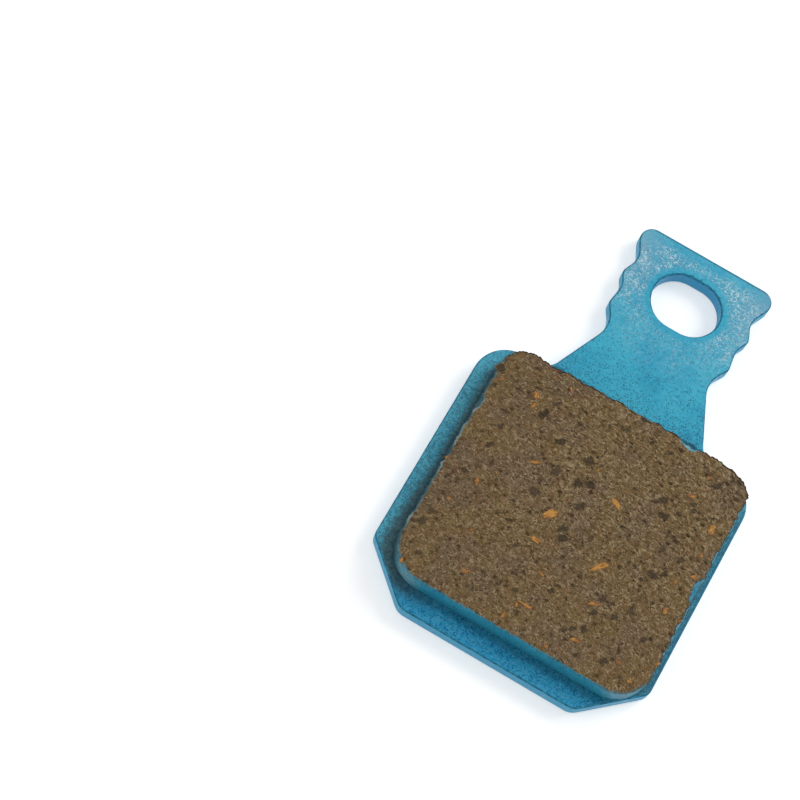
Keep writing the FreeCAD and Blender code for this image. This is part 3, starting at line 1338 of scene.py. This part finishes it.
@dataclass
class FrictionBlock:
    """Moulded block of friction compound with four plugs, ground flat. Lengths are in millimetres.

    Attributes:
        camera: camera that places the chips.
        grinding: marks of the grinding wheel.
        lower_radius: radius of the lower corners.
        upper_radius: radius of the upper corners.
        cell: size of the face's cells.
        wall_steps: depth of each ring of the wall.
        plug_diameter: diameter of a plug.
        plug_pitch: distance between plugs across and along.
        plug_middle: middle between the plugs.
        plug_recess: how far the plugs end short of the plate's back.
        plug_cell: size of the cells on a plug's end.
        plug_sunk: how far a plug reaches into the block.
        plug_rough: unevenness of a plug's end.
        edge_give: how far inside the edge its wear still moves the face.
        break_drop: depth of the broken edge.
        chip_fade: share of a chip's depth over which it runs out.
        tear_mean: mean of the ragged line, as a share of its depth.
        tears: layers of the ragged line.
        tear_fade: depth over which the ragged line fades down the wall.
        foot_groove: depth of the groove at the block's foot.
        foot_height: height of that groove.
        facet_pale: how pale the film is on a flake.
        facet_film: how thick it is there.
        crumbs: unevenness of the crumbled strip along a bare edge.
        crumb_reach: width of that strip.
        crumb_dark: how fast it darkens, partly broken compound and partly painted shade.
        crumb_bare: how much of it shows for each millimetre of bare wall.
        smooth_angle: angle in degrees up to which faces are shaded as one.
        hair: difference in height that doesn't count.
        chips: chips along the edge.
        looks: how the face ends on each side.
        face_level: highest level of the face, taken from the CAD model as the next three are.
        plate_level: level of the plate's front, which the block stands on.
        height: height of the block above the plate.
        outline: the block's outline.
        chip_middles: middle of each chip on the outline.
    """

    camera: PhotoCamera
    grinding: Grinding
    lower_radius: float = 3.2
    upper_radius: float = 2.5
    cell: float = 0.11
    wall_steps: tuple[float, ...] = (0.05, 0.12, 0.22, 0.4, 0.65, 0.95, 1.25, 1.5, 1.7, 1.85, 1.97, 2.1)
    plug_diameter: float = 6.2
    plug_pitch: Pair = (11.7, 10.2)
    plug_middle: Pair = (0.0, -8.735)
    plug_recess: float = 0.3
    plug_cell: float = 0.16
    plug_sunk: float = 0.1
    plug_rough: tuple[Swell, ...] = (
        Swell(size=0.45, layer=5, depth=0.07),
        Swell(size=1.8, layer=9, depth=0.05),
    )
    edge_give: float = 2.2
    break_drop: float = 0.13
    chip_fade: float = 0.35
    tear_mean: float = 0.40
    tears: tuple[Tear, ...] = (
        Tear(size=0.9, down=0.5, weight=0.55),
        Tear(size=0.28, down=0.3, weight=0.50),
        Tear(size=0.14, down=0.2, weight=0.40),
    )
    tear_fade: float = 0.3
    foot_groove: float = 0.12
    foot_height: float = 0.2
    facet_pale: float = 0.6
    facet_film: float = 0.08
    crumbs: Swell = Swell(size=0.3, layer=11, depth=1.0)
    crumb_reach: float = 0.25
    crumb_dark: float = 3.0
    crumb_bare: float = 2.0
    smooth_angle: float = 50.0
    hair: float = 1e-4
    chips: tuple[Chip, ...] = (
        Chip(px=478, py=400, reach=0.75, inward=0.28, down=0.6),
        Chip(px=698, py=592, reach=1.15, inward=0.46, down=1.5),
        Chip(px=690, py=447, reach=1.05, inward=0.62, down=0.52, facet=True),
        Chip(px=748, py=496, reach=0.34, inward=-0.20, down=0.5),
        Chip(px=640, py=413, reach=1.6, inward=0.14, down=0.4),
        Chip(px=552, py=362, reach=1.3, inward=0.22, down=0.7),
        Chip(px=733, py=468, reach=1.5, inward=0.22, down=0.5),
        Chip(px=678, py=627, reach=0.8, inward=0.10, down=0.6),
        Chip(px=717, py=560, reach=0.7, inward=0.18, down=0.6),
    )
    looks: dict[Side, EdgeLook] = field(default_factory=EDGE_LOOKS.copy)
    face_level: float = field(init=False)
    plate_level: float = field(init=False)
    height: float = field(init=False)
    outline: RoundedSlab = field(init=False)
    chip_middles: list[Vector] = field(init=False)

    def __post_init__(self) -> None:
        """Take the block's place from its CAD node."""
        low, high = (corner * PER_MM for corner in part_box(BLOCK_NODE))
        self.face_level = high.z
        self.plate_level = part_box(PLATE_NODE)[1].z * PER_MM
        self.height = self.face_level - self.plate_level
        centre = ((low.x + high.x) / 2, (low.y + high.y) / 2)
        half = ((high.x - low.x) / 2, (high.y - low.y) / 2)
        self.outline = RoundedSlab(centre, half, self.lower_radius, self.upper_radius)
        self.chip_middles = []
        for chip in self.chips:
            seen = self.camera.on_level(chip.px, chip.py, self.face_level)
            inside, out = self.outline.outward(seen.x, seen.y)
            self.chip_middles.append(seen.xy + out * inside)

    def plugs(self) -> list[RoundedSlab]:
        """List the outlines of the four plugs.

        Returns:
            The outlines.
        """
        radius = self.plug_diameter / 2
        columns = [self.plug_middle[0] + side * self.plug_pitch[0] / 2 for side in (-1, 1)]
        rows = [self.plug_middle[1] + side * self.plug_pitch[1] / 2 for side in (-1, 1)]
        return [RoundedSlab((x, y), (radius, radius), radius, radius) for x in columns for y in rows]

    def look_towards(self, out: Vector) -> EdgeLook:
        """Work out how the face ends on the side that faces a direction.

        Args:
            out: direction straight out of the block's outline.

        Returns:
            The look of the edge there.
        """
        step = FULL_TURN // len(Side)
        turn = math.degrees(math.atan2(out.y, out.x)) % FULL_TURN
        before = int(turn // step) * step
        this_side = self.looks[Side(before % FULL_TURN)]
        next_side = self.looks[Side((before + step) % FULL_TURN)]
        return this_side.towards(next_side, (turn - before) / step)

    def chip_at(self, point: Vector, depth: float) -> float:
        """Work out how far the chips move the edge inwards.

        Args:
            point: nearest point of the outline.
            depth: depth below the face.

        Returns:
            The inward move.
        """
        moved = 0.0
        for chip, middle in zip(self.chips, self.chip_middles):
            share = (point - middle).length / chip.reach
            if share < 1 and not chip.facet:
                fade = min(1.0, max(0.0, (chip.down - depth) / (self.chip_fade * chip.down)))
                moved += chip.inward * (1 - share**2) * fade
        return moved

    def facet_at(self, point: Vector, inside: float) -> float:
        """Work out how far the slanted flakes lower the face.

        Args:
            point: nearest point of the outline.
            inside: distance inside the outline.

        Returns:
            The drop.
        """
        for chip, middle in zip(self.chips, self.chip_middles):
            share = (point - middle).length / chip.reach
            width = chip.inward * (1 - share**2)
            if chip.facet and share < 1 and inside < width:
                return chip.down * (1 - inside / width)
        return 0.0

    def worn_edge(self, point: Vector, depth: float, look: EdgeLook) -> float:
        """Work out how far wear, chips and the groove at the foot move the wall inwards.

        Args:
            point: nearest point of the outline.
            depth: depth below the face.
            look: look of the edge on this side.

        Returns:
            The inward move.
        """
        change = depth * (1 - look.follow)
        kept = look.follow + (1 - look.follow) * math.exp(-depth / self.tear_fade)
        torn = look.ragged * sum((tear.at(point, change) for tear in self.tears), self.tear_mean) * kept
        groove = self.foot_groove * max(0.0, 1 - (self.height - depth) / self.foot_height)
        return max(0.0, torn) + self.chip_at(point, depth) + groove

    def shape_plug(self, vertex: bpy.types.MeshVertex) -> dict[str, float]:
        """Roughen the end of a plug at one of its points.

        Args:
            vertex: the point.

        Returns:
            What the mesh notes there for the material.
        """
        x, y, z = vertex.co
        if z < self.plug_recess + self.hair:
            vertex.co.z += sum(swell.at(x, y) for swell in self.plug_rough)
        return {"pit": 0.0, "film": 1.0, "pale": 0.0, "soft": 1.0}

    def shape_block(self, vertex: bpy.types.MeshVertex) -> dict[str, float]:
        """Sculpt the ground face and the ragged and chipped walls at one of their points.

        Args:
            vertex: the point.

        Returns:
            What the mesh notes there for the material.
        """
        x, y, z = vertex.co
        inside, out = self.outline.outward(x, y)
        look = self.look_towards(out)
        depth = self.face_level - z
        point = Vector((x, y)) + out * inside
        pit = 0.0
        film = depth - look.bare
        pale = look.pale
        flake = self.facet_at(point, inside)
        give = max(0.0, 1 - inside / self.edge_give)
        if give > 0:
            vertex.co.xy -= out * (self.worn_edge(point, depth, look) * give)
        if depth < self.hair:
            drop, pit = self.grinding.drop(vertex.co.x, vertex.co.y)
            broken = max(0.0, 1 - inside / look.broken)
            vertex.co.z -= drop + self.break_drop * broken
            film = self.break_drop * broken - look.bare if broken > 0 else -1.0
            # Along a bare edge the face crumbles into a dark strip, partly broken compound and partly painted
            # shade
            crumbled = max(0.0, self.crumbs.at(x, y) - inside / self.crumb_reach)
            pit = max(pit, min(1.0, self.crumb_dark * crumbled * min(1.0, self.crumb_bare * look.bare)))
        if flake > 0:
            vertex.co.z -= flake * (1 - depth / self.height)
            film = self.facet_film + depth
            pale = self.facet_pale
        return {"pit": pit, "film": film, "pale": pale, "soft": look.soft}

    def shape(self, block: Object) -> None:
        """Sculpt the block: ragged and chipped edges, the ground face, and the rough ends of the plugs.

        Args:
            block: the block and its plugs as one closed mesh.
        """
        notes = []
        for vertex in block.data.vertices:
            on_plug = vertex.co.z < self.plate_level - self.hair
            notes.append(self.shape_plug(vertex) if on_plug else self.shape_block(vertex))
        for name in notes[0]:
            note(block, name, [values[name] for values in notes])

    def build(self) -> Object:
        """Model the block over its CAD solid.

        Returns:
            The block in millimetres.
        """
        levels = [self.face_level] + [self.face_level - step for step in self.wall_steps]
        block = self.outline.model(BLOCK_NODE + "_ground", levels, self.cell)
        top = self.plate_level + self.plug_sunk
        for number, plug in enumerate(self.plugs()):
            body = plug.model(f"plug_{number}", [self.plug_recess, top], self.plug_cell)
            union = block.modifiers.new(body.name, "BOOLEAN")
            union.operation = "UNION"
            union.solver = "EXACT"
            union.object = body
            pick(block)
            bpy.ops.object.modifier_apply(modifier=union.name)
            bpy.data.objects.remove(body)
        self.shape(block)
        pick(block)
        bpy.ops.object.shade_smooth_by_angle(angle=math.radians(self.smooth_angle))
        return block

    def dress(self, block: Object, finish: GroundCompound) -> None:
        """Give the block its finish and let it stand for the CAD solid.

        Args:
            block: the modelled block.
            finish: finish of the compound and of the paint on its walls.
        """
        finish_piece(block, finish.material())
        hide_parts(BLOCK_NODE)


@dataclass(frozen=True)
class Bit:
    """One shaving or grain in the face, placed by the pixel of the photograph that shows its middle.

    Attributes:
        px: pixel from the left.
        py: pixel from the top.
        length: length in millimetres.
        width: width in millimetres.
        turn: turn in the photograph, in degrees from the right towards the top.
        tarnish: how dull it is, from 0 to 1.
    """

    px: float
    py: float
    length: float
    width: float
    turn: float = 0.0
    tarnish: float = 0.5


@dataclass(frozen=True)
class Seat:
    """Place of one bit on the face, in millimetres and radians."""

    middle: Vector
    length: float
    width: float
    turn: float
    tarnish: float


COPPER_BITS = (
    Bit(537, 395, 0.76, 0.44, 75, tarnish=0.35),
    Bit(534, 405, 0.68, 0.30, 25, tarnish=0.5),
    Bit(502, 379, 0.80, 0.30, 10, tarnish=0.8),
    Bit(535, 462, 1.25, 0.34, -3, tarnish=0.5),
    Bit(477, 481, 0.68, 0.36, 80, tarnish=0.6),
    Bit(571, 389, 0.55, 0.26, -70, tarnish=0.6),
    Bit(550, 514, 1.60, 0.68, 12, tarnish=0.05),
    Bit(616, 503, 1.05, 0.58, -55, tarnish=0.1),
    Bit(692, 496, 0.72, 0.36, -10, tarnish=0.5),
    Bit(709, 478, 0.40, 0.34, 45, tarnish=0.6),
    Bit(712, 529, 1.05, 0.60, 45, tarnish=0.4),
    Bit(701, 556, 0.55, 0.32, 20, tarnish=0.6),
    Bit(536, 539, 1.10, 0.54, -25, tarnish=0.45),
    Bit(541, 573, 0.70, 0.20, -45, tarnish=0.7),
    Bit(466, 571, 0.72, 0.34, 5, tarnish=0.7),
    Bit(402, 560, 0.48, 0.36, 60, tarnish=0.5),
    Bit(525, 605, 1.35, 0.28, -30, tarnish=0.45),
    Bit(516, 604, 0.52, 0.24, 80, tarnish=0.5),
    Bit(503, 616, 0.62, 0.40, 60, tarnish=0.7),
    Bit(594, 604, 1.10, 0.34, -5, tarnish=0.6),
    Bit(599, 567, 1.85, 0.50, 18, tarnish=0.15),
    Bit(576, 640, 1.20, 0.36, -10, tarnish=0.6),
    Bit(545, 646, 0.50, 0.38, 0, tarnish=0.8),
    Bit(676, 582, 0.45, 0.32, 80, tarnish=0.6),
    Bit(694, 577, 0.58, 0.34, 10, tarnish=0.45),
    Bit(666, 611, 0.70, 0.45, 40, tarnish=0.5),
    Bit(630, 681, 0.52, 0.40, -40, tarnish=0.45),
    Bit(618, 662, 0.72, 0.38, -60, tarnish=0.95),
    Bit(658, 664, 0.42, 0.26, 20, tarnish=0.6),
    Bit(680, 621, 0.48, 0.26, 70, tarnish=0.7),
    Bit(447, 457, 0.45, 0.26, 40, tarnish=0.7),
    Bit(639, 416, 0.42, 0.30, -20, tarnish=0.9),
    Bit(599, 470, 0.34, 0.22, 45, tarnish=0.6),
)

GRAPHITE_BITS = (
    Bit(501, 368, 0.90, 0.80, tarnish=0.3),
    Bit(544, 414, 1.10, 0.98, tarnish=0.0),
    Bit(557, 404, 0.78, 0.52, 20),
    Bit(561, 441, 1.15, 0.74, tarnish=0.2),
    Bit(589, 461, 1.15, 0.76, -40, tarnish=0.35),
    Bit(578, 483, 0.98, 0.80, tarnish=0.1),
    Bit(591, 485, 0.98, 0.78, 10, tarnish=0.1),
    Bit(580, 506, 1.15, 0.74, 20),
    Bit(625, 429, 1.00, 0.58, -30, tarnish=0.7),
    Bit(664, 501, 0.90, 0.80, tarnish=0.5),
    Bit(664, 516, 1.20, 0.66, -50, tarnish=0.1),
    Bit(717, 487, 1.00, 0.58, tarnish=0.5),
    Bit(693, 504, 0.78, 0.46, tarnish=0.7),
    Bit(671, 453, 0.68, 0.52),
    Bit(556, 471, 0.88, 0.70, 30, tarnish=0.9),
    Bit(535, 492, 1.10, 0.90, -30, tarnish=0.8),
    Bit(562, 529, 1.02, 0.76, 40),
    Bit(563, 538, 1.20, 0.78, tarnish=0.2),
    Bit(421, 521, 0.95, 0.70, 10, tarnish=0.7),
    Bit(431, 510, 0.74, 0.42, tarnish=0.7),
    Bit(516, 545, 0.66, 0.44, tarnish=0.7),
    Bit(514, 573, 0.78, 0.42, 10, tarnish=0.7),
    Bit(515, 590, 0.78, 0.42, tarnish=0.7),
    Bit(551, 591, 0.78, 0.52),
    Bit(584, 629, 0.70, 0.66),
    Bit(572, 629, 0.60, 0.52),
    Bit(564, 630, 0.52, 0.48),
    Bit(603, 599, 0.78, 0.52, 20),
    Bit(593, 613, 0.86, 0.52, 10),
    Bit(631, 611, 1.02, 0.66, 70, tarnish=0.8),
    Bit(614, 617, 0.78, 0.52, 20),
    Bit(643, 640, 0.78, 0.52, 20),
    Bit(619, 649, 0.90, 0.28, 85),
    Bit(604, 661, 0.86, 0.66),
    Bit(653, 575, 1.10, 0.66, -20, tarnish=0.4),
    Bit(664, 574, 0.78, 0.58),
    Bit(681, 560, 0.86, 0.52, 20),
    Bit(501, 426, 0.62, 0.52),
    Bit(490, 445, 0.86, 0.52, 20),
    Bit(494, 385, 0.62, 0.38),
    Bit(506, 411, 0.70, 0.42, -20),
    Bit(465, 470, 0.62, 0.52),
    Bit(419, 552, 0.62, 0.38, tarnish=0.8),
)


@dataclass
class Inclusions:
    """Shavings or grains bound into the compound and ground flush with its face. Lengths are in millimetres.

    Attributes:
        kind: what they are.
        camera: camera that places the ones that the photograph shows.
        block: the block that holds them.
        bits: the ones that the photograph shows.
        small_count: how many small ones are strewn over the face besides.
        small_size: least and greatest length of the small ones.
        top: how far below the face's highest level the highest bit lies.
        seed: start of the small ones' random draws.
        small_width: least and greatest width of the small ones, as a share of their length.
        small_tarnish: how dull the small ones are, at least and at most.
        corners: corners of a bit's outline.
        thickness: thickness of a bit.
        taper: size of its underside, as a share of its top.
        steps: number of levels that the bits lie at, so that no two that touch are level.
        step: distance between those levels.
        margin: least distance of a small one from the block's edge.
        ragged: depth of the ragged outline, as a share of the bit's size.
        tears: layers of the ragged outline: teeth to a radian, step from bit to bit, and share.
    """

    kind: Inclusion
    camera: PhotoCamera
    block: FrictionBlock
    bits: tuple[Bit, ...]
    small_count: int
    small_size: Pair
    top: float
    seed: int
    small_width: Pair = (0.45, 0.95)
    small_tarnish: Pair = (0.3, 1.0)
    corners: int = 26
    thickness: float = 0.12
    taper: float = 0.8
    steps: int = 8
    step: float = 0.0012
    margin: float = 0.5
    ragged: float = 0.6
    tears: tuple[tuple[float, float, float], ...] = ((1.1, 3.7, 1.0), (2.9, 5.3, 0.7))

    def model_bit(self) -> Object:
        """Model one bit of unit length and width with a flat top at height 0 and a tapered underside.

        Returns:
            The model that every bit is copied from.
        """
        pick()
        bpy.ops.mesh.primitive_circle_add(vertices=self.corners, radius=0.5, fill_type="TRIFAN")
        bit = bpy.context.object
        bpy.ops.object.mode_set(mode="EDIT")
        bpy.ops.mesh.select_all(action="SELECT")
        bpy.ops.mesh.extrude_region_move(TRANSFORM_OT_translate={"value": (0, 0, -1)})
        bpy.ops.transform.resize(value=(self.taper, self.taper, 1))
        bpy.ops.mesh.select_all(action="SELECT")
        bpy.ops.mesh.normals_make_consistent(inside=False)
        bpy.ops.object.mode_set(mode="OBJECT")
        return bit

    def seats(self) -> list[Seat]:
        """List the places of all bits.

        Returns:
            The shown bits first, and then the small ones.
        """
        found = []
        level = self.block.face_level
        for bit in self.bits:
            middle = self.camera.on_level(bit.px, bit.py, level)
            turn = math.radians(bit.turn)
            ahead = self.camera.on_level(bit.px + math.cos(turn), bit.py - math.sin(turn), level) - middle
            found.append(Seat(middle, bit.length, bit.width, math.atan2(ahead.y, ahead.x), bit.tarnish))
        draw = random.Random(self.seed)
        edge = self.block.outline
        least, greatest = self.small_size
        while len(found) < len(self.bits) + self.small_count:
            x = edge.centre[0] + draw.uniform(-1, 1) * edge.half[0]
            y = edge.centre[1] + draw.uniform(-1, 1) * edge.half[1]
            length = least + (greatest - least) * draw.random() ** 2
            width = length * draw.uniform(*self.small_width)
            turn = draw.uniform(0, math.pi)
            tarnish = draw.uniform(*self.small_tarnish)
            if edge.outward(x, y)[0] > self.margin:
                found.append(Seat(Vector((x, y, level)), length, width, turn, tarnish))
        return found

    def tear(self, bit: Object, number: int, seat: Seat) -> None:
        """Give one copy its own ragged outline, and note each point's place in it.

        Args:
            bit: the copy, still of unit size.
            number: number of the copy.
            seat: its place and size.
        """
        hearts = []
        places = []
        for vertex in bit.data.vertices:
            x, y = vertex.co.xy
            reach = math.hypot(x, y)
            hearts.append(1 - 2 * reach)
            if reach > 0:
                torn = 0.0
                for teeth, step, share in self.tears:
                    where = Vector((teeth * x / reach, teeth * y / reach, step * number))
                    torn += share * noise.noise(where)
                vertex.co.xy *= 1 + self.ragged * torn
            places += [vertex.co.x * seat.length, vertex.co.y * seat.width, number]
        note(bit, "heart", hearts)
        note(bit, "tarnish", [seat.tarnish] * len(hearts))
        note(bit, "own", places, "FLOAT_VECTOR", "vector")

    def build(self) -> Object:
        """Model the bits and join them into one piece.

        Returns:
            The piece in millimetres.
        """
        pattern = self.model_bit()
        copies = []
        for number, seat in enumerate(self.seats()):
            bit = pattern.copy()
            bit.data = pattern.data.copy()
            bpy.context.scene.collection.objects.link(bit)
            self.tear(bit, number, seat)
            size = Matrix.Diagonal((seat.length, seat.width, self.thickness, 1))
            below = self.top + self.step * (number % self.steps)
            place = Matrix.Translation((seat.middle.x, seat.middle.y, self.block.face_level - below))
            bit.data.transform(place @ Matrix.Rotation(seat.turn, 4, "Z") @ size)
            copies.append(bit)
        bpy.data.objects.remove(pattern)
        pick(*copies)
        bpy.ops.object.join()
        piece = bpy.context.object
        piece.name = self.kind.value
        piece.data.name = self.kind.value
        return piece

    def dress(self, piece: Object, finish: CutBit) -> None:
        """Give the bits their finish."""
        finish_piece(piece, finish.material())


@dataclass(frozen=True)
class SoftBox:
    """Square studio lamp with a diffusing front. Lengths are in millimetres, power in watts.

    Attributes:
        name: name of the lamp.
        place: middle of its front.
        side: length of its side.
        power: its power.
    """

    name: str
    place: tuple[float, float, float]
    side: float
    power: float

    def build(self, target: Vector) -> None:
        """Add the lamp and point it at the pad.

        Args:
            target: point that the lamp faces.
        """
        lamp = bpy.data.lights.new(self.name, "AREA")
        lamp.shape = "SQUARE"
        lamp.size = self.side * MM
        lamp.energy = self.power
        holder = bpy.data.objects.new(self.name, lamp)
        place = Vector(self.place) * MM
        holder.location = place
        holder.rotation_euler = (target - place).to_track_quat("-Z", "Y").to_euler()
        bpy.context.scene.collection.objects.link(holder)


@dataclass(frozen=True)
class Studio:
    """Plain white studio: floor, sky and soft lamps. Lengths are in millimetres."""

    floor_side: float = 6000.0
    floor_drop: float = 0.02
    floor_shade: str = "#EFEFEF"
    floor_lift: float = 0.48
    sky: float = 0.42
    sky_shade: str = "#FFFFFF"
    lamps: tuple[SoftBox, ...] = (
        SoftBox("key_softbox", place=(210.0, 260.0, 330.0), side=260.0, power=0.95),
        SoftBox("fill_softbox", place=(-260.0, -200.0, 300.0), side=300.0, power=0.22),
    )

    def build_floor(self) -> None:
        """Lay the floor: matt white board that takes the pad's shadow and looks white from the camera."""
        pick()
        bpy.ops.mesh.primitive_plane_add(size=self.floor_side * MM, location=(0, 0, -self.floor_drop * MM))
        floor = bpy.context.object
        floor.name = "studio_floor"
        material = new_material("matt_white_board")
        tree = material.node_tree
        board = add_node(tree, "BsdfDiffuse", {"Color": self.floor_shade})
        lift = add_node(tree, "Math", [seen_share(tree), self.floor_lift], operation="MULTIPLY")
        glow = add_node(tree, "Emission", {"Strength": lift})
        both = add_node(tree, "AddShader", [board, glow])
        add_node(tree, "OutputMaterial", [both])
        floor.data.materials.append(material)

    def build_sky(self) -> None:
        """Light the pad evenly from all round, and show plain white behind the floor."""
        world = bpy.data.worlds.new("studio_white")
        world.use_nodes = True
        tree = world.node_tree
        tree.nodes.clear()
        strength = add_node(tree, "MapRange", [seen_share(tree), 0, 1, self.sky, 1.0])
        background = add_node(tree, "Background", [self.sky_shade, strength])
        add_node(tree, "OutputWorld", [background])
        bpy.context.scene.world = world

    def build(self) -> None:
        """Set up the studio."""
        self.build_floor()
        self.build_sky()
        middle = (CAD_BOX[0] + CAD_BOX[1]) / 2
        for lamp in self.lamps:
            lamp.build(middle)
        bpy.context.scene.view_settings.view_transform = "Standard"


def main() -> None:
    """Build the pad and its studio."""
    logging.basicConfig(level=logging.INFO, format="%(name)s: %(message)s")
    camera = PhotoCamera()
    grinding = Grinding()
    paint = StovePaint()
    block = FrictionBlock(camera, grinding)
    left = block.outline.centre[0] - block.outline.half[0]
    highlight_middle = camera.on_level(*CORNER_HIGHLIGHT_PIXEL, (block.face_level + block.plate_level) / 2)
    compound = GroundCompound(paint, grinding, block.plate_level, left, highlight_middle)
    BackingPlate().dress(paint, block.outline)
    block.dress(block.build(), compound)
    copper = Inclusions(
        Inclusion.COPPER,
        camera,
        block,
        COPPER_BITS,
        small_count=30,
        small_size=(0.12, 0.32),
        top=0.002,
        seed=11,
    )
    copper.dress(
        copper.build(),
        CutBit(
            compound,
            "ground_copper_shaving",
            fresh="#D59C50",
            dull="#85593D",
            metallic=0.25,
            edge=0.22,
            cover=0.94,
            streak=(0.50, 0.11),
            core=-0.35,
            skin=0.20,
        ),
    )
    graphite = Inclusions(
        Inclusion.GRAPHITE,
        camera,
        block,
        GRAPHITE_BITS,
        small_count=130,
        small_size=(0.20, 0.50),
        top=0.014,
        seed=23,
    )
    graphite.dress(
        graphite.build(),
        CutBit(
            compound,
            "ground_graphite_grain",
            fresh="#28231A",
            dull="#5A4D39",
            metallic=0.0,
            edge=0.50,
            cover=0.86,
            streak=(0.16, 0.13),
            core=0.45,
            skin=-0.10,
        ),
    )
    Studio().build()
    camera.build()


if __name__ == "__main__":
    main()
